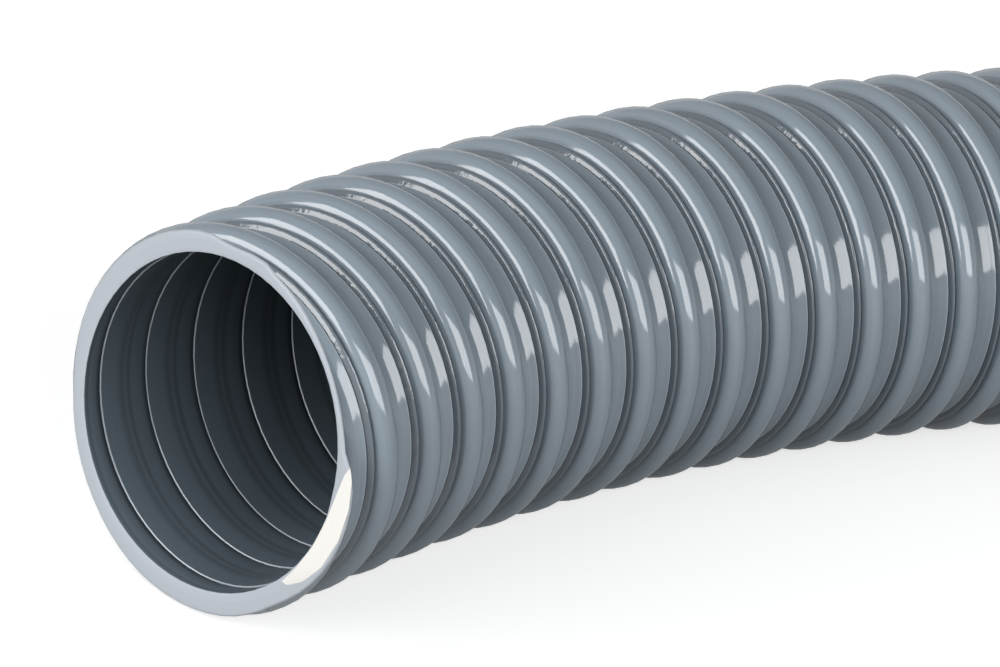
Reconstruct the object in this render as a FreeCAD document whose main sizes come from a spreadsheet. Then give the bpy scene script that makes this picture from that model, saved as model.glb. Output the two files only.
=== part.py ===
"""Flexible duct: a soft hose wound with a half-round rib, a rigid helix inside the rib.

A length of spiral duct lies on the floor and bends gently to one side. The soft wall is one
profile wound round the bore, so that it has a raised rib and a nearly flat band on every
turn. A rigid core with a rounded back and a flat seat runs inside the rib from end to end
and shows where the two cuts cross it.

The duct's axis leaves the front mouth in a short straight stretch, bends to the right in
the floor plane and ends in a long straight stretch. It is worked out with the front stretch
along +X. The finished pieces are then turned about the centre of the front mouth, the
origin, so that +X runs from mouth to mouth. +Z is up.
"""
import FreeCAD
import Part
import math
import os

from FreeCAD import Rotation, Vector

OUT_DIR = "parts"
SEW_TOLERANCE = 0.005
PLANE_TOLERANCE = 0.001
FACES_PER_TURN = 4
END_TURNS = 4

SIZES = (
    ("hose_length", 1000.0, "along the axis, from cut to cut"),
    ("front_straight", 30.0, "straight stretch behind the front mouth"),
    ("bend_radius", 745.0, "radius of the axis in the bend"),
    ("bend_angle", 26.0, "degrees that the axis turns"),
    ("bore_radius", 50.0, "inside of the duct"),
    ("wall_thickness", 3.6, "soft wall between two ribs"),
    ("rib_pitch", 20.0, "from rib to rib along the axis"),
    ("rib_width", 8.8, "across the foot of the rib"),
    ("rib_height", 4.4, "from the wall to the crown of the rib"),
    ("rib_sides", 4, "flats round the back of the rib"),
    ("core_width", 6.8, "across the flat of the rigid core"),
    ("core_height", 5.0, "from the core's flat to its back"),
    ("core_seat", 0.6, "soft wall between the bore and the core"),
    ("core_sides", 3, "flats round the back of the core"),
    ("front_cut_tilt", 5.7, "degrees that the front cut leans back at its top"),
    ("front_cut_yaw", 2.0, "degrees that the front cut leans back on its +Y side"),
    ("winding_start", 58.5, "degrees round the mouth where the first rib begins"),
)

OVERRUN = "sizes.rib_pitch * 3"
CUTTER_WIDTH = "(sizes.bore_radius * 4)"
BEND_RUN = "(sizes.bend_radius * sizes.bend_angle * pi / 180)"
BACK_STRAIGHT = f"(sizes.hose_length - sizes.front_straight - {BEND_RUN})"
BEND_END_X = "(sizes.front_straight + sizes.bend_radius * sin(sizes.bend_angle))"
BEND_END_Y = "(sizes.bend_radius * (cos(sizes.bend_angle) - 1))"
BACK_MOUTH_X = f"({BEND_END_X} + {BACK_STRAIGHT} * cos(sizes.bend_angle))"
BACK_MOUTH_Y = f"({BEND_END_Y} - {BACK_STRAIGHT} * sin(sizes.bend_angle))"
MOUTH_TO_MOUTH = f"atan2({BACK_MOUTH_Y}; {BACK_MOUTH_X})"


def add_sheet(document):
    """Put every driving size in a sheet, one named row each."""
    sheet = document.addObject("Spreadsheet::Sheet", "sizes")
    for row, (alias, value, note) in enumerate(SIZES, start=1):
        sheet.set(f"A{row}", alias)
        sheet.set(f"B{row}", str(value))
        sheet.set(f"C{row}", note)
        sheet.setAlias(f"B{row}", alias)
    document.recompute()
    return sheet


def add_bound(document, kind, name, turned, expressions):
    """Add a primitive whose sizes and place are bound to the sheet."""
    item = document.addObject(kind, name)
    item.Placement.Rotation = turned
    for path, expression in expressions.items():
        item.setExpression(path, expression)
    return item


class Axis:
    """The duct's centreline: straight, one arc towards -Y, straight."""

    def __init__(self, sheet):
        self.front = sheet.front_straight
        self.radius = sheet.bend_radius
        self.turn = math.radians(sheet.bend_angle)
        self.length = sheet.hose_length

    def curvature(self, run):
        """Curvature of the axis at a run along it."""
        bent = self.front <= run <= self.front + self.radius * self.turn
        return 1.0 / self.radius if bent else 0.0

    def frame(self, run):
        """Centre, forward and sideways directions at a run along the axis."""
        angle = min(max((run - self.front) / self.radius, 0.0), self.turn)
        forward = Vector(math.cos(angle), -math.sin(angle), 0)
        side = Vector(-math.sin(angle), -math.cos(angle), 0)
        centre = Vector(min(run, self.front), 0, 0)
        centre += Vector(math.sin(angle), math.cos(angle) - 1.0, 0) * self.radius
        centre += forward * max(run - self.front - self.radius * self.turn, 0.0)
        return centre, forward, side


class Winding:
    """Surfaces wound round the axis at the pitch of the ribs."""

    def __init__(self, sheet, axis):
        self.axis = axis
        self.pitch = sheet.rib_pitch
        self.start = math.radians(sheet.winding_start)
        self.step = 2 * math.pi / FACES_PER_TURN
        self.turns = range(-2, math.ceil(axis.length / self.pitch) + 2)

    def point_and_handle(self, angle, offset, radius):
        """Point of the winding, and from it to the curve's next pole."""
        advance = self.pitch / (2 * math.pi)
        run = advance * (angle - self.start) + offset
        centre, forward, side = self.axis.frame(run)
        down = Vector(0, 0, -1)
        outward = side * math.cos(angle) + down * math.sin(angle)
        around = down * math.cos(angle) - side * math.sin(angle)
        stretch = 1.0 - self.axis.curvature(run) * radius * math.cos(angle)
        along_handle = advance * stretch * self.step / 3
        arc_handle = radius * math.tan(self.step / 4) * 4 / 3
        return centre + outward * radius, forward * along_handle + around * arc_handle

    def wound_row(self, place, offset, radius):
        """Poles of the curve that one corner of a section draws along one face."""
        angles = [self.start + node * self.step for node in (place, place + 1)]
        (first, out), (last, back) = [self.point_and_handle(angle, offset, radius) for angle in angles]
        return [first, first + out, last - back, last]

    def face(self, place, side):
        """Face that one straight side of a section sweeps, counted from the first rib."""
        rows = [self.wound_row(place, offset, radius) for offset, radius in side]
        surface = Part.BSplineSurface()
        surface.buildFromPolesMultsKnots(
            [list(pair) for pair in zip(*rows)],
            [4, 4], [2, 2], [0.0, 1.0], [0.0, 1.0], False, False, 3, 1)
        return surface.toShape()

    def skin(self, section, cutters):
        """Faces that a section sweeps between the two end cuts."""
        sides = list(zip(section, section[1:]))
        whole = []
        ends = []
        for turn in self.turns:
            places = range(turn * FACES_PER_TURN, (turn + 1) * FACES_PER_TURN)
            near_end = min(turn - self.turns[0], self.turns[-1] - turn) < END_TURNS
            (ends if near_end else whole).extend(
                self.face(place, side) for place in places for side in sides)
        return whole + Part.makeCompound(ends).cut(cutters).Faces


def rounded_back(foot, width, height, sides):
    """Corners of a half-round back of a few flats, the middle one at full height."""
    step = math.pi / sides
    top = math.cos(step / 2) if sides % 2 else 1.0
    return [(-width / 2 * math.cos(corner * step), foot + height * math.sin(corner * step) / top)
            for corner in range(int(sides) + 1)]


def wall_section(sheet):
    """Outside of the wound strip from the foot of one rib to the foot of the next."""
    wall = sheet.bore_radius + sheet.wall_thickness
    rib = rounded_back(wall, sheet.rib_width, sheet.rib_height, sheet.rib_sides)
    return rib + [(rib[0][0] + sheet.rib_pitch, wall)]


def core_section(sheet):
    """Rigid core: rounded back and a flat towards the bore, as a closed outline."""
    seat = sheet.bore_radius + sheet.core_seat
    back = rounded_back(seat, sheet.core_width, sheet.core_height, sheet.core_sides)
    return back + [back[0]]


def add_bore(document):
    """Bore of the duct: a tube along each straight and a torus round the bend."""
    along_x = Rotation(Vector(0, 1, 0), 90)
    front = add_bound(document, "Part::Cylinder", "bore_front", along_x, {
        "Radius": "sizes.bore_radius",
        "Height": f"sizes.front_straight + {OVERRUN}",
        "Placement.Base.x": f"-{OVERRUN}",
    })
    bend = add_bound(document, "Part::Torus", "bore_bend", Rotation(), {
        "Radius1": "sizes.bend_radius",
        "Radius2": "sizes.bore_radius",
        "Angle3": "sizes.bend_angle",
        "Placement.Base.x": "sizes.front_straight",
        "Placement.Base.y": "-sizes.bend_radius",
        "Placement.Rotation.Angle": "90 - sizes.bend_angle",
    })
    back = add_bound(document, "Part::Cylinder", "bore_back", along_x, {
        "Radius": "sizes.bore_radius",
        "Height": f"{BACK_STRAIGHT} + {OVERRUN}",
        "Placement.Base.x": BEND_END_X,
        "Placement.Base.y": BEND_END_Y,
        "Placement.Rotation.Yaw": "-sizes.bend_angle",
    })
    bore = document.addObject("Part::MultiFuse", "bore")
    bore.Shapes = [front, bend, back]
    return bore


def add_cut(document, name, block_start, expressions):
    """Add a block with one face on an end plane, held in a frame that sets place and lean."""
    block = add_bound(document, "Part::Box", f"{name}_block", Rotation(), {
        "Length": CUTTER_WIDTH,
        "Width": CUTTER_WIDTH,
        "Height": CUTTER_WIDTH,
        "Placement.Base.x": block_start,
        "Placement.Base.y": f"-{CUTTER_WIDTH} / 2",
        "Placement.Base.z": f"-{CUTTER_WIDTH} / 2",
    })
    cut = add_bound(document, "Part::Compound", name, Rotation(), expressions)
    cut.Links = [block]
    return cut


def add_end_cuts(document):
    """Blocks that cut the duct: leaning at the front, square to the axis at the back."""
    front = add_cut(document, "front_cut", f"-{CUTTER_WIDTH}", {
        "Placement.Rotation.Pitch": "sizes.front_cut_tilt",
        "Placement.Rotation.Yaw": "-sizes.front_cut_yaw",
    })
    back = add_cut(document, "back_cut", "0", {
        "Placement.Base.x": BACK_MOUTH_X,
        "Placement.Base.y": BACK_MOUTH_Y,
        "Placement.Rotation.Yaw": "-sizes.bend_angle",
    })
    return [front, back]


def loops_on(faces, plane_point, plane_normal):
    """Closed wires that the faces' edges draw on a plane."""
    edges = []
    for face in faces:
        for edge in face.Edges:
            low, high = edge.ParameterRange
            spots = [edge.valueAt(low + (high - low) * share) for share in (0.0, 0.3, 0.7, 1.0)]
            if all(abs((spot - plane_point).dot(plane_normal)) < PLANE_TOLERANCE for spot in spots):
                edges.append(edge)
    return [Part.Wire(group) for group in Part.sortEdges(edges)]


def end_planes(cuts):
    """A point and the normal of each end plane."""
    return [(cut.Placement.Base, cut.Placement.Rotation.multVec(Vector(1, 0, 0))) for cut in cuts]


def closed_solid(faces):
    """Solid inside a set of faces that meet edge to edge."""
    shell = Part.makeShell(faces)
    shell.sewShape(SEW_TOLERANCE)
    solid = Part.Solid(Part.Shell(shell.Faces))
    if solid.Volume < 0:
        solid.reverse()
    return solid


def capped_solid(walls, planes):
    """Solid of tubular walls, closed by a flat face with holes on each end plane."""
    caps = []
    for point, normal in planes:
        loops = loops_on(walls, point, normal)
        caps.extend(Part.makeFace(loops, "Part::FaceMakerBullseye").Faces)
    return closed_solid(walls + caps)


def add_piece(document, name, shape):
    """Add a finished piece under its node's name, turned so that +X runs mouth to mouth."""
    item = add_bound(document, "Part::Feature", name, Rotation(), {
        "Placement.Rotation.Angle": f"-{MOUTH_TO_MOUTH}",
    })
    item.Label = name
    item.Shape = shape
    return item


def checked(document):
    """Stop if an object failed to build or holds a broken shape."""
    for item in document.Objects:
        if "Invalid" in item.State or "Error" in item.State:
            raise RuntimeError(f"{item.Label} did not build")
        if hasattr(item, "Shape") and (item.Shape.isNull() or not item.Shape.isValid()):
            raise RuntimeError(f"{item.Label} has a broken shape")


def build():
    """Build the document and write one file for each piece."""
    document = FreeCAD.newDocument("flexible_duct")
    sheet = add_sheet(document)
    bore = add_bore(document)
    cuts = add_end_cuts(document)
    document.recompute()

    cutters = Part.makeCompound([cut.Shape for cut in cuts])
    planes = end_planes(cuts)
    winding = Winding(sheet, Axis(sheet))
    outside = winding.skin(wall_section(sheet), cutters)
    core = winding.skin(core_section(sheet), cutters)
    bore_faces = [face for face in bore.Shape.cut(cutters).Faces
                  if not isinstance(face.Surface, Part.Plane)]
    pieces = [
        add_piece(document, "hose_wall", capped_solid(outside + core + bore_faces, planes)),
        add_piece(document, "reinforcing_helix", capped_solid(core, planes)),
    ]
    document.recompute()
    checked(document)
    os.makedirs(OUT_DIR, exist_ok=True)
    for piece in pieces:
        piece.Shape.exportStep(f"{OUT_DIR}/{piece.Label}.step")
        FreeCAD.Console.PrintMessage(f"{piece.Label}: {piece.Shape.Volume / 1000:.1f} cm3\n")


build()
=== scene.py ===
import logging
import math
from dataclasses import dataclass
from enum import Enum
from typing import NamedTuple

import bmesh
import bpy
import numpy as np
from mathutils import Matrix, Vector


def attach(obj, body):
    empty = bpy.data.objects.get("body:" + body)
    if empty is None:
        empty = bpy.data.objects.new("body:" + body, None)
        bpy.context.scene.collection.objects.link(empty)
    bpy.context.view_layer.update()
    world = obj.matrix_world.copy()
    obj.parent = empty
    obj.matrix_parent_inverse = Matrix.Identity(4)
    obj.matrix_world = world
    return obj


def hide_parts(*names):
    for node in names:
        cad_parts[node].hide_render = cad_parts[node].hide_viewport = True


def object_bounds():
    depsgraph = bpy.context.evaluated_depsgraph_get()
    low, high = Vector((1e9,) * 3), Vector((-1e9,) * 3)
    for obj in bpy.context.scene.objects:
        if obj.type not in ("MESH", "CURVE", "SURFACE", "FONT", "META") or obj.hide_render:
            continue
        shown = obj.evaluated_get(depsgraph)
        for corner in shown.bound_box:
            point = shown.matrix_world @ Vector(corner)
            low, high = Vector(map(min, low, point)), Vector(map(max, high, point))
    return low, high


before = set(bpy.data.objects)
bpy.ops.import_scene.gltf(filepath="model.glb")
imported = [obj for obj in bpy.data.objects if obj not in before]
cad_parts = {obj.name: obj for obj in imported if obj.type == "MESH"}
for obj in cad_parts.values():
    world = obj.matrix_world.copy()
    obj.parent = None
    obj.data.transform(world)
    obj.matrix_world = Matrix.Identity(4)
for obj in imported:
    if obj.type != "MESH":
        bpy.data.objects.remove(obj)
CAD_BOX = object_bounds()

LOG = logging.getLogger("flexible_duct")
MM = 0.001
FULL_TURN = 2.0 * math.pi


class Node(Enum):
    """Names of the physical pieces, the same as in the CAD frame."""

    WALL = "hose_wall"
    CORE = "reinforcing_helix"


class Slot(Enum):
    """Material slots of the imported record."""

    SOFT = "soft_pvc"
    RIGID = "rigid_pvc"


@dataclass(frozen=True)
class HoseSizes:
    """Driving sizes of the duct, in metres and degrees."""

    length: float = 1000.0 * MM
    front_straight: float = 30.0 * MM
    bend_radius: float = 745.0 * MM
    bend_angle: float = 26.0
    bore_radius: float = 50.0 * MM
    wall: float = 3.6 * MM
    pitch: float = 20.0 * MM
    rib_half_width: float = 4.4 * MM
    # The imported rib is 4.4 mm high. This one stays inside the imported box.
    rib_height: float = 4.37 * MM
    cut_tilt: float = 5.7
    cut_yaw: float = 2.0
    winding_start: float = 58.5
    winding_wander: float = 0.12 * MM

    @property
    def band_radius(self) -> float:
        """Radius of the flat band between two ribs."""
        return self.bore_radius + self.wall

    @property
    def heading(self) -> float:
        """Angle in radians from the line between the mouths to the front stretch."""
        turn = math.radians(self.bend_angle)
        back = self.length - self.front_straight - self.bend_radius * turn
        x = self.front_straight + self.bend_radius * math.sin(turn) + back * math.cos(turn)
        y = self.bend_radius * (1.0 - math.cos(turn)) + back * math.sin(turn)
        return math.atan2(y, x)


class Finish(Enum):
    """Numbers of the wall's finishes on its mesh."""

    SKIN = 0
    CUT = 1
    BORE = 2
    # Edge faces of the lip and the laps: their lighter colour is a painted highlight.
    EDGE_PAINTED_HIGHLIGHT = 3


class Spot(NamedTuple):
    """One point of a wound section, and the finish of the face that follows it."""

    offset: float
    radius: float
    finish: Finish


# Dished floor between two ribs, the lip of the strip's edge and the welded bead behind it.
# Millimetres behind the crest, and above the band's radius.
VALLEY = (
    (4.5, -0.6, Finish.SKIN),
    (5.1, -1.2, Finish.SKIN),
    (6.3, -1.75, Finish.SKIN),
    (8.2, -2.0, Finish.SKIN),
    (9.8, -1.85, Finish.SKIN),
    (11.0, -1.5, Finish.SKIN),
    (12.0, -1.0, Finish.SKIN),
    (12.8, -0.48, Finish.EDGE_PAINTED_HIGHLIGHT),
    (13.02, -0.42, Finish.SKIN),
    (13.25, -0.95, Finish.SKIN),
    (13.55, -0.45, Finish.SKIN),
    (14.0, 0.45, Finish.SKIN),
    (14.3, 0.95, Finish.SKIN),
    (14.65, 1.1, Finish.SKIN),
    (15.25, 0.6, Finish.SKIN),
)

# Bore over one pitch: each turn starts with a small step that faces the mouth.
# Millimetres behind the crest, and outside the bore's radius.
BORE_LAP = (
    (2.0, 0.0, Finish.BORE),
    (3.4, 0.02, Finish.BORE),
    (12.0, 0.1, Finish.BORE),
    (20.2, 0.25, Finish.BORE),
    (21.8, 0.36, Finish.EDGE_PAINTED_HIGHLIGHT),
)


@dataclass(frozen=True)
class CoreSizes:
    """The rigid core, wound inside the rib."""

    # Millimetres behind the crest, and outside the bore's radius.
    section: tuple[tuple[float, float], ...] = (
        (-3.1, 1.2), (-2.2, 0.75), (-0.9, 0.65), (0.7, 0.75), (2.1, 1.6), (3.1, 3.3), (3.55, 5.2),
        (2.9, 6.3), (1.6, 7.1), (0.0, 7.3), (-1.5, 6.7), (-2.6, 5.1), (-3.1, 3.0),
    )
    # How far the ends lie behind the cut planes, which is less than the rims' recess.
    recess: float = 0.18 * MM


@dataclass(frozen=True)
class RimSizes:
    """The cut ends: rounding of the edges, and the collar of wall left in front of the first rib."""

    outer_round: float = 0.8 * MM
    inner_round: float = 0.25 * MM
    recess: float = 0.3 * MM
    round_steps: int = 4
    # Largest share of the ring's width that the outer rounding takes.
    round_share: float = 0.35
    # Places of the points on the ring's flat, as shares of its width.
    flat_shares: tuple[float, float] = (0.4, 0.6)
    collar_flat: float = 1.5 * MM
    collar_run: float = 6.0 * MM
    collar_foot: float = 51.0 * MM
    # Directions round the axis in degrees, and the outer radius at the cut in millimetres.
    collar: tuple[tuple[float, float], ...] = (
        (0.0, 51.0), (35.0, 56.0), (64.0, 57.2), (100.0, 56.8), (130.0, 55.6), (166.0, 54.9),
        (205.0, 54.5), (243.0, 53.6), (285.0, 51.0), (360.0, 51.0),
    )


@dataclass(frozen=True)
class MeshDensity:
    """How finely the wound surfaces are divided: columns round the axis, segments over a rib."""

    columns: int = 64
    rib_segments: int = 9
    core_columns: int = 60


class Wave(NamedTuple):
    """One wave of the strip's irregularity along its winding, in radians."""

    size: float
    rate: float
    phase: float


WAVES = (Wave(1.0, 0.83, 0.0), Wave(0.7, 2.31, 1.9), Wave(0.5, 5.17, 0.6))


class Axis:
    """The duct's centreline: straight, one arc to the right, straight; +X runs mouth to mouth."""

    def __init__(self, sizes: HoseSizes) -> None:
        """Keep the sizes that set the line.

        Args:
            sizes: Sizes of the duct.
        """
        self.sizes = sizes
        self.turn = math.radians(sizes.bend_angle)

    def place(self, run: np.ndarray, radius: np.ndarray, angle: np.ndarray) -> np.ndarray:
        """Give points at distances from the axis.

        Args:
            run: Distances along the axis.
            radius: Distances from the axis.
            angle: Directions round the axis, from the inside of the bend downwards.

        Returns:
            Points, one row each.
        """
        sizes = self.sizes
        arc = np.clip((run - sizes.front_straight) / sizes.bend_radius, 0.0, self.turn)
        after = np.maximum(run - sizes.front_straight - sizes.bend_radius * self.turn, 0.0)
        side = radius * np.cos(angle)
        x = np.minimum(run, sizes.front_straight) + sizes.bend_radius * np.sin(arc)
        x = x + after * np.cos(arc) - side * np.sin(arc)
        y = sizes.bend_radius * (np.cos(arc) - 1.0) - after * np.sin(arc) - side * np.cos(arc)
        ahead, across = math.cos(sizes.heading), math.sin(sizes.heading)
        return np.stack([x * ahead - y * across, x * across + y * ahead, -radius * np.sin(angle)], axis=-1)

    def direction(self, arc: float) -> np.ndarray:
        """Give the line's direction after part of the bend.

        Args:
            arc: Angle in radians by which it has turned.

        Returns:
            A unit vector.
        """
        course = self.sizes.heading - arc
        return np.array([math.cos(course), math.sin(course), 0.0])


class EndPlanes:
    """The leaning front cut and the square back cut."""

    def __init__(self, sizes: HoseSizes, recess: float = 0.0) -> None:
        """Work out the slopes of the front cut.

        Args:
            sizes: Sizes of the duct.
            recess: How far both planes are moved inwards.
        """
        self.front = recess
        self.back = sizes.length - recess
        self.per_down = -math.tan(math.radians(sizes.cut_tilt))
        self.per_side = -math.tan(math.radians(sizes.cut_yaw))

    def past_front(self, run: np.ndarray, radius: np.ndarray, angle: np.ndarray) -> np.ndarray:
        """Give distances behind the front cut, along the axis.

        Args:
            run: Distances along the axis.
            radius: Distances from the axis.
            angle: Directions round the axis.

        Returns:
            Distances, below zero in front of the cut.
        """
        lean = self.per_side * np.cos(angle) + self.per_down * np.sin(angle)
        return run - self.front - radius * lean

    def before_back(self, run: np.ndarray) -> np.ndarray:
        """Give distances in front of the back cut, below zero behind it."""
        return self.back - run


def wander(angle: np.ndarray, turn: np.ndarray, size: float) -> np.ndarray:
    """Give the small smooth irregularity of a wound strip.

    Args:
        angle: Directions round the axis.
        turn: Turn that each point is on, whole or fractional.
        size: Largest value.

    Returns:
        Offsets of both signs, the same on every run of the script.
    """
    wound = angle + FULL_TURN * turn
    total = sum(wave.size * np.sin(wave.rate * wound + wave.phase) for wave in WAVES)
    return size * total / sum(wave.size for wave in WAVES)


class WoundTube:
    """A tube whose surface is a section wound round the axis, cut by two planes."""

    # Turns wound past each end before it is cut.
    SPARE_TURNS = 2

    def __init__(self, sizes: HoseSizes, axis: Axis, planes: EndPlanes, columns: int) -> None:
        """Keep the shared geometry.

        Args:
            sizes: Sizes of the duct.
            axis: Centreline of the duct.
            planes: Planes that end the tube.
            columns: Number of directions round the axis.
        """
        self.sizes = sizes
        self.axis = axis
        self.planes = planes
        self.columns = columns
        self.angles = FULL_TURN * np.arange(columns) / columns
        self.turns = range(-self.SPARE_TURNS, math.ceil(sizes.length / sizes.pitch) + self.SPARE_TURNS)

    def rows(self, section: list[Spot]) -> tuple[np.ndarray, np.ndarray]:
        """Give the run and radius of each point of the section in each column, before the cuts.

        Args:
            section: Points of the section over one pitch.

        Returns:
            Two arrays of columns by rows.
        """
        offsets = np.array([spot.offset for spot in section])
        radii = np.array([spot.radius for spot in section])
        turns = np.repeat(np.array(list(self.turns), float), len(section))
        begin = math.radians(self.sizes.winding_start)
        crest = (self.angles[:, None] - begin) / FULL_TURN + turns[None, :]
        run = self.sizes.pitch * crest + np.tile(offsets, len(self.turns))[None, :]
        run = run + wander(self.angles[:, None], turns[None, :], self.sizes.winding_wander)
        radius = np.broadcast_to(np.tile(radii, len(self.turns)), run.shape).copy()
        return run, radius

    def cut(self, run: np.ndarray, radius: np.ndarray) -> tuple[np.ndarray, np.ndarray]:
        """Move the rows beyond each end plane onto the point where their column crosses it.

        Args:
            run: Runs of the rows.
            radius: Radii of the rows.

        Returns:
            The new runs and radii.
        """
        angle = self.angles[:, None]
        run, radius = run.copy(), radius.copy()
        inside_front = self.planes.past_front(run, radius, angle) > 0.0
        inside_back = self.planes.before_back(run) > 0.0
        for column in range(self.columns):
            first = int(np.argmax(inside_front[column]))
            self._clamp(run, radius, column, first, first - 1, slice(0, first))
            last = int(len(run[column]) - 1 - np.argmax(inside_back[column][::-1]))
            self._clamp(run, radius, column, last, last + 1, slice(last + 1, None))
        return run, radius

    def _clamp(self, run: np.ndarray, radius: np.ndarray, column: int, inside: int, outside: int,
               beyond: slice) -> None:
        """Put the rows beyond a plane on the crossing between two neighbouring rows.

        Args:
            run: Runs of the rows, changed in place.
            radius: Radii of the rows, changed in place.
            column: Column that is cut.
            inside: Last row kept.
            outside: First row beyond the plane.
            beyond: All the rows beyond it.
        """
        angle = self.angles[column]
        pair_run = run[column, [inside, outside]]
        pair_radius = radius[column, [inside, outside]]
        if outside < inside:
            depth = self.planes.past_front(pair_run, pair_radius, angle)
        else:
            depth = self.planes.before_back(pair_run)
        share = depth[0] / (depth[0] - depth[1])
        run[column, beyond] = pair_run[0] + share * (pair_run[1] - pair_run[0])
        radius[column, beyond] = pair_radius[0] + share * (pair_radius[1] - pair_radius[0])

    def points(self, run: np.ndarray, radius: np.ndarray) -> np.ndarray:
        """Give the points of the rows, columns by rows by three."""
        return self.axis.place(run, radius, self.angles[:, None])


class MeshParts:
    """Vertices, faces, finish numbers and winding coordinates of one mesh."""

    MERGE_DISTANCE = 0.002 * MM
    # Degrees between faces above which an edge is shaded sharp.
    SHARP_ANGLE = 40.0

    def __init__(self) -> None:
        """Start with an empty mesh."""
        self.vertices: list[np.ndarray] = []
        self.faces: list[tuple[int, ...]] = []
        self.finishes: list[int] = []
        self.wound: list[np.ndarray] = []
        self.count = 0

    def add_points(self, points: np.ndarray, wound: np.ndarray) -> np.ndarray:
        """Add a grid of points and return their numbers.

        Args:
            points: Grid of points, three numbers each.
            wound: Two coordinates of each point along and across the winding.

        Returns:
            Numbers of the vertices, in the grid's shape.
        """
        flat = points.reshape(-1, 3)
        numbers = self.count + np.arange(len(flat)).reshape(points.shape[:-1])
        self.vertices.append(flat)
        self.wound.append(wound.reshape(-1, 2))
        self.count += len(flat)
        return numbers

    def add_quads(self, quads: np.ndarray, finishes: np.ndarray | int) -> None:
        """Add faces of four corners.

        Args:
            quads: Vertex numbers, four to a face.
            finishes: Finish numbers, one for all or one for each face.
        """
        self.faces.extend(map(tuple, quads.reshape(-1, 4).tolist()))
        self.finishes.extend(np.broadcast_to(finishes, quads.shape[:-1]).ravel().tolist())

    def build(self, name: str, materials: list[bpy.types.Material]) -> bpy.types.Object:
        """Make the object, with doubled points merged and collapsed faces removed.

        Args:
            name: Name of the piece.
            materials: Materials, in the order of the finish numbers.

        Returns:
            The new object.
        """
        mesh = bpy.data.meshes.new(name)
        mesh.from_pydata(np.concatenate(self.vertices).tolist(), [], self.faces)
        mesh.polygons.foreach_set("material_index", self.finishes)
        wound = np.concatenate(self.wound)
        loops = np.empty(len(mesh.loops), dtype=np.int32)
        mesh.loops.foreach_get("vertex_index", loops)
        layer = mesh.uv_layers.new(name="winding")
        layer.data.foreach_set("uv", wound[loops].astype(np.float32).ravel())
        cleaner = bmesh.new()
        cleaner.from_mesh(mesh)
        bmesh.ops.remove_doubles(cleaner, verts=cleaner.verts, dist=self.MERGE_DISTANCE)
        bmesh.ops.dissolve_degenerate(cleaner, dist=self.MERGE_DISTANCE, edges=cleaner.edges)
        bmesh.ops.recalc_face_normals(cleaner, faces=cleaner.faces)
        cleaner.to_mesh(mesh)
        cleaner.free()
        mesh.shade_smooth()
        mesh.set_sharp_from_angle(angle=math.radians(self.SHARP_ANGLE))
        for material in materials:
            mesh.materials.append(material)
        piece = bpy.data.objects.new(name, mesh)
        bpy.context.scene.collection.objects.link(piece)
        return piece


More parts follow.
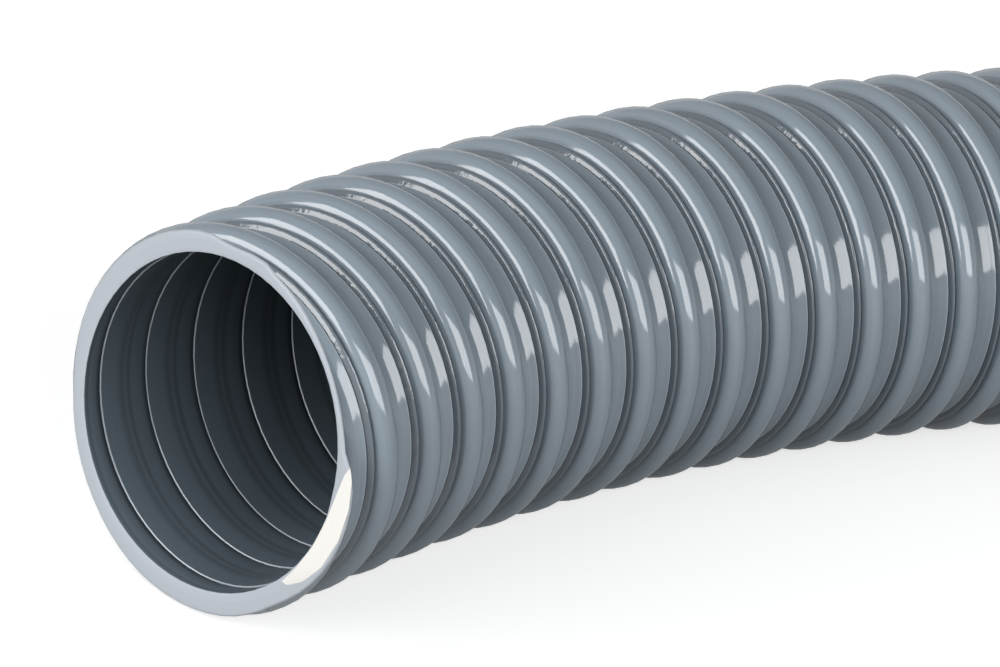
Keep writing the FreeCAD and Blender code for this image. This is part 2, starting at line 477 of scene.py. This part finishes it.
class HoseWall:
    """The soft wound wall: ribs, dished bands and seams outside, a lapped bore inside."""

    def __init__(self, sizes: HoseSizes, rims: RimSizes, density: MeshDensity) -> None:
        """Keep the sizes of the wall, and set up its axis and its cuts.

        Args:
            sizes: Sizes of the duct.
            rims: Sizes of the cut ends.
            density: Divisions of the mesh.
        """
        self.sizes = sizes
        self.rims = rims
        self.density = density
        self.axis = Axis(sizes)
        self.planes = EndPlanes(sizes)

    def outer_section(self) -> list[Spot]:
        """Give the outside's points over one pitch, from the front foot of a rib."""
        sizes = self.sizes
        band = sizes.band_radius
        angles = [math.pi * step / self.density.rib_segments
                  for step in range(self.density.rib_segments + 1)]
        rib = [Spot(-sizes.rib_half_width * math.cos(angle), band + sizes.rib_height * math.sin(angle),
                    Finish.SKIN) for angle in angles]
        return rib + [Spot(offset * MM, band + rise * MM, finish) for offset, rise, finish in VALLEY]

    def bore_section(self) -> list[Spot]:
        """Give the bore's points over one pitch, from one lap to the next."""
        bore = self.sizes.bore_radius
        return [Spot(offset * MM, bore + depth * MM, finish) for offset, depth, finish in BORE_LAP]

    def collar(self, run: np.ndarray, radius: np.ndarray, angles: np.ndarray) -> np.ndarray:
        """Thicken the outside just behind the front cut.

        Args:
            run: Runs of the rows.
            radius: Radii of the rows.
            angles: Directions of the columns.

        Returns:
            The new radii.
        """
        rims = self.rims
        depth = self.planes.past_front(run, radius, angles[:, None])
        share = np.clip((depth - rims.collar_flat) / rims.collar_run, 0.0, 1.0)
        fall = share * share * (3.0 - 2.0 * share)
        degrees, radii = zip(*rims.collar)
        edge = np.interp(np.degrees(angles), degrees, radii)[:, None] * MM
        return np.maximum(radius, edge - fall * (edge - rims.collar_foot))

    def skin(self, parts: MeshParts, section: list[Spot], inset: float, thicken: bool) -> np.ndarray:
        """Add one wound surface and return the numbers of its vertices.

        Args:
            parts: Mesh that the surface is added to.
            section: Points of the section over one pitch.
            inset: How far the surface stops short of the end planes.
            thicken: Whether the collar is added at the front.

        Returns:
            Vertex numbers, columns by rows.
        """
        tube = WoundTube(self.sizes, self.axis, EndPlanes(self.sizes, inset), self.density.columns)
        run, radius = tube.rows(section)
        if thicken:
            radius = self.collar(run, radius, tube.angles)
        run, radius = tube.cut(run, radius)
        per_turn = len(section)
        turns = np.arange(run.shape[1]) // per_turn
        along = (tube.angles[:, None] + FULL_TURN * turns[None, :]) * self.sizes.band_radius
        across = np.broadcast_to(np.tile([spot.offset for spot in section], len(tube.turns)), run.shape)
        numbers = parts.add_points(tube.points(run, radius), np.stack([along, across], axis=-1))
        # The last column meets the first one turn further along.
        following = np.vstack([numbers[1:, :-per_turn], numbers[:1, per_turn:]])
        here = numbers[:, :-per_turn]
        quads = np.stack([here[:, :-1], following[:, :-1], following[:, 1:], here[:, 1:]], axis=-1)
        finishes = np.tile([spot.finish.value for spot in section], len(tube.turns) - 1)[:-1]
        parts.add_quads(quads, finishes)
        return numbers

    def rim(self, parts: MeshParts, inner: np.ndarray, outer: np.ndarray, end: int,
            outward: np.ndarray) -> None:
        """Close an end with a flat ring whose edges are rounded.

        Args:
            parts: Mesh that the ring is added to.
            inner: Vertex numbers of the bore.
            outer: Vertex numbers of the outside.
            end: First or last row, 0 or -1.
            outward: Direction out of the end.
        """
        rims = self.rims
        points = np.concatenate(parts.vertices)
        low, high = points[inner[:, end]], points[outer[:, end]]
        width = np.linalg.norm(high - low, axis=1)[:, None]
        across, drop = self._ring_section(width)
        share = across / width
        # The two edges lie behind the ring by their own roundings.
        behind = rims.inner_round + (rims.outer_round - rims.inner_round) * share
        ring = low[:, None, :] + (high - low)[:, None, :] * share[:, :, None]
        ring = ring + (behind - drop)[:, :, None] * outward
        columns = len(low)
        along = np.arange(columns)[:, None] * FULL_TURN / columns * self.sizes.band_radius
        wound = np.stack([np.broadcast_to(along, across.shape), across], axis=-1)
        numbers = parts.add_points(ring, wound)
        following = np.roll(numbers, -1, axis=0)
        quads = np.stack([numbers[:, :-1], following[:, :-1], following[:, 1:], numbers[:, 1:]], axis=-1)
        parts.add_quads(quads, Finish.CUT.value)

    def _ring_section(self, width: np.ndarray) -> tuple[np.ndarray, np.ndarray]:
        """Work out the ring's section: a small rounding, a flat and a larger rounding.

        Args:
            width: Width of the ring in each column.

        Returns:
            Distances from the bore's edge in each column, and drops behind the ring's plane.
        """
        rims = self.rims
        arc = np.linspace(0.0, math.pi / 2, rims.round_steps + 1)
        # The small rounding takes every second step.
        bore_arc = arc[::2]
        reach = np.minimum(rims.outer_round, rims.round_share * width)
        near = np.tile(rims.inner_round * (1.0 - np.cos(bore_arc)), (len(width), 1))
        far = width - reach * (1.0 - np.sin(arc))
        across = np.concatenate([near, width * np.array(rims.flat_shares), far], axis=1)
        drop = np.concatenate([rims.inner_round * (1.0 - np.sin(bore_arc)),
                               np.zeros(len(rims.flat_shares)),
                               rims.outer_round * (1.0 - np.cos(arc))])
        return across, drop

    def build(self, materials: list[bpy.types.Material]) -> bpy.types.Object:
        """Make the wall as one closed mesh.

        Args:
            materials: Materials, in the order of the finish numbers.

        Returns:
            The new object.
        """
        parts = MeshParts()
        outer = self.skin(parts, self.outer_section(), self.rims.recess + self.rims.outer_round, True)
        inner = self.skin(parts, self.bore_section(), self.rims.recess + self.rims.inner_round, False)
        front = -self.axis.direction(0.0)
        back = self.axis.direction(self.axis.turn)
        for end, outward in ((0, front), (-1, back)):
            self.rim(parts, inner, outer, end, outward)
        piece = parts.build("hose_wall_skin", materials)
        LOG.info("wall: %d faces", len(piece.data.polygons))
        return piece


class ReinforcingHelix:
    """The rigid core, wound inside the rib and laid open by both cuts."""

    # Turns wound past each end before it is cut.
    SPARE_TURNS = 1.5
    FINISH = 0

    def __init__(self, sizes: HoseSizes, core: CoreSizes, density: MeshDensity) -> None:
        """Keep the sizes of the core.

        Args:
            sizes: Sizes of the duct.
            core: Section of the core.
            density: Divisions of the mesh.
        """
        self.sizes = sizes
        self.core = core
        self.density = density
        self.axis = Axis(sizes)
        self.planes = EndPlanes(sizes, core.recess)

    def section(self) -> np.ndarray:
        """Give offsets from the crest and radii round the closed section."""
        return np.array(self.core.section) * MM + (0.0, self.sizes.bore_radius)

    def build(self, material: bpy.types.Material) -> bpy.types.Object:
        """Make the core as one closed mesh.

        Args:
            material: Material of the core.

        Returns:
            The new object.
        """
        section = self.section()
        begin = math.radians(self.sizes.winding_start)
        turns = self.sizes.length / self.sizes.pitch + 2.0 * self.SPARE_TURNS
        steps = int(turns * self.density.core_columns)
        wound = begin + FULL_TURN * (np.arange(steps + 1) / self.density.core_columns - self.SPARE_TURNS)
        angle = np.repeat(wound[:, None], len(section), axis=1)
        run = self.sizes.pitch * (angle - begin) / FULL_TURN + section[None, :, 0]
        radius = np.repeat(section[None, :, 1], steps + 1, axis=0)
        angle, run = self._cut(angle, run, radius)
        points = self.axis.place(run, radius, angle)
        parts = MeshParts()
        numbers = parts.add_points(points, np.stack([angle * self.sizes.band_radius, radius], axis=-1))
        round_section = np.roll(numbers, -1, axis=1)
        quads = np.stack([numbers[:-1], round_section[:-1], round_section[1:], numbers[1:]], axis=-1)
        parts.add_quads(quads, self.FINISH)
        for end in (0, -1):
            parts.faces.append(tuple(numbers[end].tolist()))
            parts.finishes.append(self.FINISH)
        piece = parts.build("reinforcing_helix_core", [material])
        LOG.info("core: %d faces", len(piece.data.polygons))
        return piece

    def _cut(self, angle: np.ndarray, run: np.ndarray,
             radius: np.ndarray) -> tuple[np.ndarray, np.ndarray]:
        """Move the points beyond each end plane along the winding onto it.

        Args:
            angle: Winding angle of each point.
            run: Run of each point.
            radius: Radius of each point.

        Returns:
            The new angles and runs.
        """
        angle, run = angle.copy(), run.copy()
        front = self.planes.past_front(run, radius, angle)
        back = self.planes.before_back(run)
        for row in range(angle.shape[1]):
            first = int(np.argmax(front[:, row] > 0.0))
            last = int(len(back) - 1 - np.argmax(back[::-1, row] > 0.0))
            for inside, outside, depth, beyond in (
                    (first, first - 1, front, slice(0, first)),
                    (last, last + 1, back, slice(last + 1, None))):
                share = depth[inside, row] / (depth[inside, row] - depth[outside, row])
                for values in (angle, run):
                    step = values[outside, row] - values[inside, row]
                    values[beyond, row] = values[inside, row] + share * step
        return angle, run


def combined(tree: bpy.types.NodeTree, operation: str, first: bpy.types.NodeSocket,
             second: bpy.types.NodeSocket | float) -> bpy.types.NodeSocket:
    """Add a node that works out one number from two.

    Args:
        tree: Node tree that the node is added to.
        operation: Name of the operation.
        first: Socket with the first number.
        second: Socket with the second number, or a constant.

    Returns:
        The socket with the result.
    """
    node = tree.nodes.new("ShaderNodeMath")
    node.operation = operation
    tree.links.new(first, node.inputs[0])
    if isinstance(second, float):
        node.inputs[1].default_value = second
    else:
        tree.links.new(second, node.inputs[1])
    return node.outputs["Value"]


def ranged(tree: bpy.types.NodeTree, value: bpy.types.NodeSocket, source: tuple[float, float],
           target: tuple[float, float]) -> bpy.types.NodeSocket:
    """Add a node that maps one range of numbers onto another.

    Args:
        tree: Node tree that the node is added to.
        value: Socket with the number.
        source: First and last number of the range that it is in.
        target: Numbers that they become.

    Returns:
        The socket with the new number.
    """
    node = tree.nodes.new("ShaderNodeMapRange")
    for name, number in zip(("From Min", "From Max", "To Min", "To Max"), (*source, *target)):
        node.inputs[name].default_value = number
    tree.links.new(value, node.inputs["Value"])
    return node.outputs["Result"]


def shaded(tree: bpy.types.NodeTree, colour: bpy.types.NodeSocket,
           brightness: bpy.types.NodeSocket) -> bpy.types.NodeSocket:
    """Add a node that multiplies a colour by a brightness, and return its socket."""
    node = tree.nodes.new("ShaderNodeVectorMath")
    node.operation = "MULTIPLY"
    tree.links.new(colour, node.inputs[0])
    tree.links.new(brightness, node.inputs[1])
    return node.outputs["Vector"]


def coordinate(tree: bpy.types.NodeTree, place: bpy.types.NodeSocket, name: str) -> bpy.types.NodeSocket:
    """Add a node that takes one coordinate, X, Y or Z, out of three, and return its socket."""
    node = tree.nodes.new("ShaderNodeSeparateXYZ")
    tree.links.new(place, node.inputs["Vector"])
    return node.outputs[name]


class Grain(NamedTuple):
    """A noise texture: cells per metre along each coordinate, and octaves."""

    cells: tuple[float, float, float]
    octaves: float


STREAKS = Grain((6.0, 900.0, 1.0), 3.0)
BLOTCHES = Grain((28.0, 28.0, 28.0), 2.0)
PEEL = Grain((300.0, 300.0, 300.0), 1.0)
BEAD_ROUGHNESS = Grain((520.0, 650.0, 1.0), 2.0)

# Values of the streaks' noise where a streak starts and where it is darkest.
STREAK_RANGE = (0.45, 0.75)

# Millimetres behind the crest, and how much of the bead's roughness is there.
BEAD_MASK = ((13.2, 0.0), (13.6, 1.0), (14.7, 1.0), (15.3, 0.0))

# Millimetres behind the crest outside, and brightness: painted shade at the rib's front foot, on its rear
# flank, in the dished floor and in the crevice behind the lip.
SKIN_PAINTED_SHADE = ((-4.4, 0.75), (-3.7, 1.0), (2.6, 1.0), (4.8, 0.72), (7.0, 0.74), (9.0, 0.86), (11.0, 1.0),
               (12.9, 1.0), (13.2, 0.5), (14.3, 0.6), (15.3, 0.5))

# Millimetres behind the crest in the bore, and brightness: painted shade, dark just before each lap's step
# and in bands midway.
BORE_PAINTED_SHADE = ((2.0, 1.0), (8.5, 0.97), (11.0, 0.66), (12.4, 0.9), (13.8, 0.62), (15.5, 0.95),
               (19.6, 0.8), (21.0, 0.3), (21.8, 0.2))


@dataclass(frozen=True)
class PlasticFinish:
    """Look of one plastic surface.

    Attributes:
        name: Name of the material.
        colour: Linear colour between the streaks.
        dark_share: Brightness of a streak against it.
        roughness: Mean roughness.
        rough_swing: How far the roughness goes up and down.
        peel_height: Height of the fine waves on the surface, in metres.
        streaks: How strong the darkest streak is.
        specular: Specular level.
        painted_shade: Millimetres behind the crest, and brightness of the painted shade there.
        bead_height: Height of the weld bead's roughness, in metres.
        painted_light_below: Share by which the colour is painted paler at the bottom and darker on top, as
            painted light low down and painted shade high up.
    """

    name: str
    colour: tuple[float, float, float]
    dark_share: float
    roughness: float
    rough_swing: float
    peel_height: float
    streaks: float
    specular: float = 0.5
    painted_shade: tuple[tuple[float, float], ...] = ()
    bead_height: float = 0.0
    painted_light_below: float = 0.0

    def build(self) -> bpy.types.Material:
        """Make the node material: streaked colour, uneven gloss and fine relief."""
        material = bpy.data.materials.new(self.name)
        material.use_nodes = True
        tree = material.node_tree
        shader = tree.nodes["Principled BSDF"]
        shader.inputs["Specular IOR Level"].default_value = self.specular
        winding = tree.nodes.new("ShaderNodeUVMap")
        winding.uv_map = "winding"
        wound = winding.outputs["UV"]
        place = tree.nodes.new("ShaderNodeTexCoord").outputs["Object"]
        tree.links.new(self._colour(tree, wound, place), shader.inputs["Base Color"])
        gloss = ranged(tree, self._noise(tree, place, BLOTCHES), (0.0, 1.0),
                       (self.roughness - self.rough_swing, self.roughness + self.rough_swing))
        tree.links.new(gloss, shader.inputs["Roughness"])
        bump = tree.nodes.new("ShaderNodeBump")
        bump.inputs["Strength"].default_value = 1.0
        bump.inputs["Distance"].default_value = 1.0
        tree.links.new(self._relief(tree, wound, place), bump.inputs["Height"])
        tree.links.new(bump.outputs["Normal"], shader.inputs["Normal"])
        return material

    def _colour(self, tree: bpy.types.NodeTree, wound: bpy.types.NodeSocket,
                place: bpy.types.NodeSocket) -> bpy.types.NodeSocket:
        """Add the streaked colour, with painted shade across the strip, and painted light below and painted
        shade on top where the finish says so.

        Args:
            tree: Node tree of the material.
            wound: Socket with the coordinates along and across the winding.
            place: Socket with the point's coordinates.

        Returns:
            The socket with the colour.
        """
        blend = tree.nodes.new("ShaderNodeMix")
        blend.data_type = "RGBA"
        blend.inputs["A"].default_value = (*self.colour, 1.0)
        blend.inputs["B"].default_value = (*(part * self.dark_share for part in self.colour), 1.0)
        share = ranged(tree, self._noise(tree, wound, STREAKS), STREAK_RANGE, (0.0, self.streaks))
        tree.links.new(share, blend.inputs["Factor"])
        colour = blend.outputs["Result"]
        # Painted shade across the strip: the colour is darkened where the profile says.
        if self.painted_shade:
            colour = shaded(tree, colour, self._profile(tree, wound, self.painted_shade))
        # Painted light and shade by height: paler towards the bottom, darker towards the top.
        if self.painted_light_below:
            top = HoseSizes.bore_radius
            painted_light_level = ranged(tree, coordinate(tree, place, "Z"), (top, -top),
                             (1.0 - self.painted_light_below, 1.0 + self.painted_light_below))
            colour = shaded(tree, colour, painted_light_level)
        return colour

    def _relief(self, tree: bpy.types.NodeTree, wound: bpy.types.NodeSocket,
                place: bpy.types.NodeSocket) -> bpy.types.NodeSocket:
        """Add the surface's fine waves, and the rough weld bead where the finish has one.

        Args:
            tree: Node tree of the material.
            wound: Socket with the coordinates along and across the winding.
            place: Socket with the point's coordinates.

        Returns:
            The socket with the height.
        """
        height = combined(tree, "MULTIPLY", self._noise(tree, place, PEEL), self.peel_height)
        if not self.bead_height:
            return height
        rough = self._noise(tree, wound, BEAD_ROUGHNESS)
        bead = combined(tree, "MULTIPLY", rough, self._profile(tree, wound, BEAD_MASK))
        return combined(tree, "ADD", height, combined(tree, "MULTIPLY", bead, self.bead_height))

    @staticmethod
    def _profile(tree: bpy.types.NodeTree, wound: bpy.types.NodeSocket,
                 stops: tuple[tuple[float, float], ...]) -> bpy.types.NodeSocket:
        """Add a value that changes across the strip.

        Args:
            tree: Node tree of the material.
            wound: Socket with the coordinates along and across the winding.
            stops: Millimetres behind the crest and values, in rising order.

        Returns:
            The socket with the value.
        """
        first, last = stops[0][0], stops[-1][0]
        share = ranged(tree, coordinate(tree, wound, "Y"), (first * MM, last * MM), (0.0, 1.0))
        ramp = tree.nodes.new("ShaderNodeValToRGB")
        elements = ramp.color_ramp.elements
        while len(elements) < len(stops):
            elements.new(0.5)
        for element, (offset, value) in zip(elements, stops):
            element.position = (offset - first) / (last - first)
            element.color = (value, value, value, 1.0)
        tree.links.new(share, ramp.inputs["Fac"])
        return ramp.outputs["Color"]

    @staticmethod
    def _noise(tree: bpy.types.NodeTree, place: bpy.types.NodeSocket, grain: Grain) -> bpy.types.NodeSocket:
        """Add a noise texture.

        Args:
            tree: Node tree of the material.
            place: Socket with the coordinates.
            grain: Size and detail of the noise.

        Returns:
            The socket with the noise.
        """
        stretch = tree.nodes.new("ShaderNodeMapping")
        stretch.inputs["Scale"].default_value = grain.cells
        noise = tree.nodes.new("ShaderNodeTexNoise")
        noise.inputs["Scale"].default_value = 1.0
        noise.inputs["Detail"].default_value = grain.octaves
        tree.links.new(place, stretch.inputs["Vector"])
        tree.links.new(stretch.outputs["Vector"], noise.inputs["Vector"])
        return noise.outputs["Fac"]


# In the order of the finish numbers.
WALL_FINISHES = (
    # The skin's colour is darkened by painted shade across the strip.
    PlasticFinish(name="soft_grey_pvc", colour=(0.210, 0.258, 0.300), dark_share=0.8, roughness=0.10,
                  rough_swing=0.03, peel_height=0.016 * MM, streaks=0.4, specular=0.8,
                  painted_shade=SKIN_PAINTED_SHADE, bead_height=0.13 * MM),
    # The cut face is lighter than the skin: partly the fresh cut's own paler tone, partly painted light
    # from the front.
    PlasticFinish(name="cut_grey_pvc_painted_light", colour=(0.40, 0.435, 0.475), dark_share=0.85, roughness=0.5,
                  rough_swing=0.06, peel_height=0.02 * MM, streaks=0.4),
    # The bore's colour carries painted shade across the strip, and painted light low down with painted
    # shade high up.
    PlasticFinish(name="bore_grey_pvc", colour=(0.088, 0.112, 0.133), dark_share=0.8, roughness=0.30,
                  rough_swing=0.05, peel_height=0.012 * MM, streaks=0.5, painted_shade=BORE_PAINTED_SHADE, painted_light_below=0.6),
    # Lighter grey on the lip and lap edges: a painted highlight of light catching the edge.
    PlasticFinish(name="lap_edge_painted_highlight", colour=(0.33, 0.37, 0.41), dark_share=0.8, roughness=0.35,
                  rough_swing=0.05, peel_height=0.01 * MM, streaks=0.3),
)
CORE_FINISH = PlasticFinish(name="rigid_white_pvc", colour=(0.79, 0.775, 0.735), dark_share=0.92,
                            roughness=0.38, rough_swing=0.05, peel_height=0.01 * MM, streaks=0.4)


def towards(azimuth: float, elevation: float) -> Vector:
    """Give the unit vector in a direction given in degrees."""
    turn, climb = math.radians(azimuth), math.radians(elevation)
    return Vector((math.cos(climb) * math.cos(turn), math.cos(climb) * math.sin(turn), math.sin(climb)))


@dataclass(frozen=True)
class SoftBox:
    """A rectangular studio light that faces the duct.

    Attributes:
        name: Name of the light.
        azimuth: Direction that it stands in, in degrees from +X.
        elevation: Its height in degrees.
        spread: Its width in degrees, as the duct sees it.
        rise: Its height in degrees, as the duct sees it.
        brightness: Radiance of its face.
        mirrored: Whether glossy surfaces show it.
        distance: Metres from the duct.
    """

    name: str
    azimuth: float
    elevation: float
    spread: float
    rise: float
    brightness: float
    mirrored: bool = True
    distance: float = 3.0

    def build(self, target: Vector) -> bpy.types.Object:
        """Place the light and turn it to the duct.

        Args:
            target: Point that it faces.

        Returns:
            The light's object.
        """
        light = bpy.data.lights.new(self.name, "AREA")
        light.shape = "RECTANGLE"
        light.size = 2.0 * self.distance * math.tan(math.radians(self.spread / 2))
        light.size_y = 2.0 * self.distance * math.tan(math.radians(self.rise / 2))
        light.energy = self.brightness * math.pi * light.size * light.size_y
        item = bpy.data.objects.new(self.name, light)
        item.visible_glossy = self.mirrored
        bpy.context.scene.collection.objects.link(item)
        outward = towards(self.azimuth, self.elevation)
        item.location = target + outward * self.distance
        item.rotation_euler = (-outward).to_track_quat("-Z", "Y").to_euler()
        return item


SOFT_BOXES = (
    SoftBox("right_box", azimuth=-86.0, elevation=28.0, spread=52.0, rise=29.0, brightness=5.0),
    SoftBox("left_box", azimuth=-177.0, elevation=21.0, spread=55.0, rise=32.0, brightness=5.9),
    SoftBox("back_fill", azimuth=56.0, elevation=12.0, spread=60.0, rise=40.0, brightness=3.0,
            mirrored=False),
)


class Studio:
    """White floor, surroundings and soft lights."""

    # Middle of the stretch that the photograph shows.
    LIT_POINT = (0.12, 0.03, 0.0)
    FLOOR_REACH = 6.0
    # The paper's brightness as it throws light on the duct, and as it is seen.
    FLOOR_BOUNCE = 0.15
    FLOOR_SHADE = 0.75
    FLOOR_GLOW = 0.55
    FLOOR_ROUGHNESS = 0.9
    # Strength of the even light on the duct, and of what is seen round it.
    AMBIENT = 0.12
    WHITE = 1.0
    # Direction of the brighter side, and the brightness high up away from it and towards it.
    BRIGHT_SIDE = (-0.94, 0.34, 0.0)
    DARKEST = 0.2
    LIGHTEST = 0.75
    # Sine of the elevation where that brightness is reached.
    RISE = 0.5

    def build(self) -> None:
        """Make the floor, the world and the lights."""
        self._floor()
        self._world()
        for box in SOFT_BOXES:
            box.build(Vector(self.LIT_POINT))
        LOG.info("studio: %d lights", len(SOFT_BOXES))

    def _floor(self) -> None:
        """Add the floor that the duct lies on."""
        height = CAD_BOX[0][2]
        reach = self.FLOOR_REACH
        mesh = bpy.data.meshes.new("floor")
        corners = [(-reach, -reach, height), (reach, -reach, height), (reach, reach, height),
                   (-reach, reach, height)]
        mesh.from_pydata(corners, [], [(0, 1, 2, 3)])
        floor = bpy.data.objects.new("floor", mesh)
        bpy.context.scene.collection.objects.link(floor)
        mesh.materials.append(self._paper())

    def _paper(self) -> bpy.types.Material:
        """Make the floor's paper: white where it is seen, with the shadow kept on it."""
        material = bpy.data.materials.new("floor_paper")
        material.use_nodes = True
        tree = material.node_tree
        shader = tree.nodes["Principled BSDF"]
        shader.inputs["Roughness"].default_value = self.FLOOR_ROUGHNESS
        shade = tree.nodes.new("ShaderNodeMix")
        shade.data_type = "RGBA"
        shade.inputs["A"].default_value = (*(self.FLOOR_BOUNCE,) * 3, 1.0)
        shade.inputs["B"].default_value = (*(self.FLOOR_SHADE,) * 3, 1.0)
        tree.links.new(self._seen(tree), shade.inputs["Factor"])
        tree.links.new(shade.outputs["Result"], shader.inputs["Base Color"])
        direct = tree.nodes.new("ShaderNodeLightPath").outputs["Is Camera Ray"]
        shader.inputs["Emission Color"].default_value = (1.0, 1.0, 1.0, 1.0)
        glow = combined(tree, "MULTIPLY", direct, self.FLOOR_GLOW)
        tree.links.new(glow, shader.inputs["Emission Strength"])
        return material

    @staticmethod
    def _seen(tree: bpy.types.NodeTree) -> bpy.types.NodeSocket:
        """Add nodes that give one on rays from the camera and on mirrored rays.

        Args:
            tree: Node tree that the nodes are added to.

        Returns:
            The socket with the value.
        """
        path = tree.nodes.new("ShaderNodeLightPath")
        value = path.outputs["Is Camera Ray"]
        for name in ("Is Glossy Ray", "Is Transmission Ray"):
            value = combined(tree, "MAXIMUM", value, path.outputs[name])
        return value

    def _world(self) -> None:
        """Light the scene evenly, and show white behind it."""
        world = bpy.data.worlds.new("studio")
        world.use_nodes = True
        tree = world.node_tree
        background = tree.nodes["Background"]
        strength = ranged(tree, self._seen(tree), (0.0, 1.0), (self.AMBIENT, self.WHITE))
        tree.links.new(strength, background.inputs["Strength"])
        tree.links.new(self._surroundings(tree), background.inputs["Color"])
        bpy.context.scene.world = world

    def _surroundings(self, tree: bpy.types.NodeTree) -> bpy.types.NodeSocket:
        """Add the studio's brightness by direction: white low down, darker above and to one side.

        Args:
            tree: Node tree of the world.

        Returns:
            The socket with the brightness.
        """
        direction = tree.nodes.new("ShaderNodeTexCoord").outputs["Generated"]
        along = tree.nodes.new("ShaderNodeVectorMath")
        along.operation = "DOT_PRODUCT"
        along.inputs[1].default_value = self.BRIGHT_SIDE
        tree.links.new(direction, along.inputs[0])
        side = ranged(tree, along.outputs["Value"], (-1.0, 1.0), (self.DARKEST, self.LIGHTEST))
        level = tree.nodes.new("ShaderNodeMapRange")
        level.interpolation_type = "SMOOTHSTEP"
        level.inputs["From Max"].default_value = self.RISE
        level.inputs["To Min"].default_value = self.WHITE
        tree.links.new(coordinate(tree, direction, "Z"), level.inputs["Value"])
        tree.links.new(side, level.inputs["To Max"])
        return level.outputs["Result"]


@dataclass(frozen=True)
class PhotoCamera:
    """The photograph's viewpoint: a long lens from the front, above and to the right.

    Attributes:
        aim: Point in the middle of the picture.
        distance: Metres from it to the camera.
        azimuth: Direction that the camera stands in, in degrees from +X.
        elevation: Its height in degrees.
        roll: Degrees by which it is turned about its line of sight.
        lens: Focal length in millimetres.
    """

    aim: tuple[float, float, float] = (0.1121, 0.0260, 0.0051)
    distance: float = 1.8082
    azimuth: float = -124.413
    elevation: float = 27.287
    roll: float = 12.044
    lens: float = 214.42

    def build(self) -> bpy.types.Object:
        """Make the camera and make it the scene's own."""
        back = towards(self.azimuth, self.elevation)
        level = back.to_track_quat("Z", "Y").to_matrix()
        turned = level @ Matrix.Rotation(math.radians(self.roll), 3, "Z")
        data = bpy.data.cameras.new("photo_camera")
        data.lens = self.lens
        camera = bpy.data.objects.new("photo_camera", data)
        camera.matrix_world = Matrix.Translation(Vector(self.aim) + back * self.distance) @ turned.to_4x4()
        bpy.context.scene.collection.objects.link(camera)
        bpy.context.scene.camera = camera
        return camera


def main() -> None:
    """Dress the duct, light it and place the camera."""
    logging.basicConfig(level=logging.INFO, format="%(name)s: %(message)s")
    bpy.context.scene.view_settings.view_transform = "Standard"
    sizes, density = HoseSizes(), MeshDensity()
    wall = HoseWall(sizes, RimSizes(), density).build([finish.build() for finish in WALL_FINISHES])
    core = ReinforcingHelix(sizes, CoreSizes(), density).build(CORE_FINISH.build())
    for piece, node, slot in ((wall, Node.WALL, Slot.SOFT), (core, Node.CORE, Slot.RIGID)):
        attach(piece, "root")
        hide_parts(node.value)
    Studio().build()
    PhotoCamera().build()


if __name__ == "__main__":
    main()
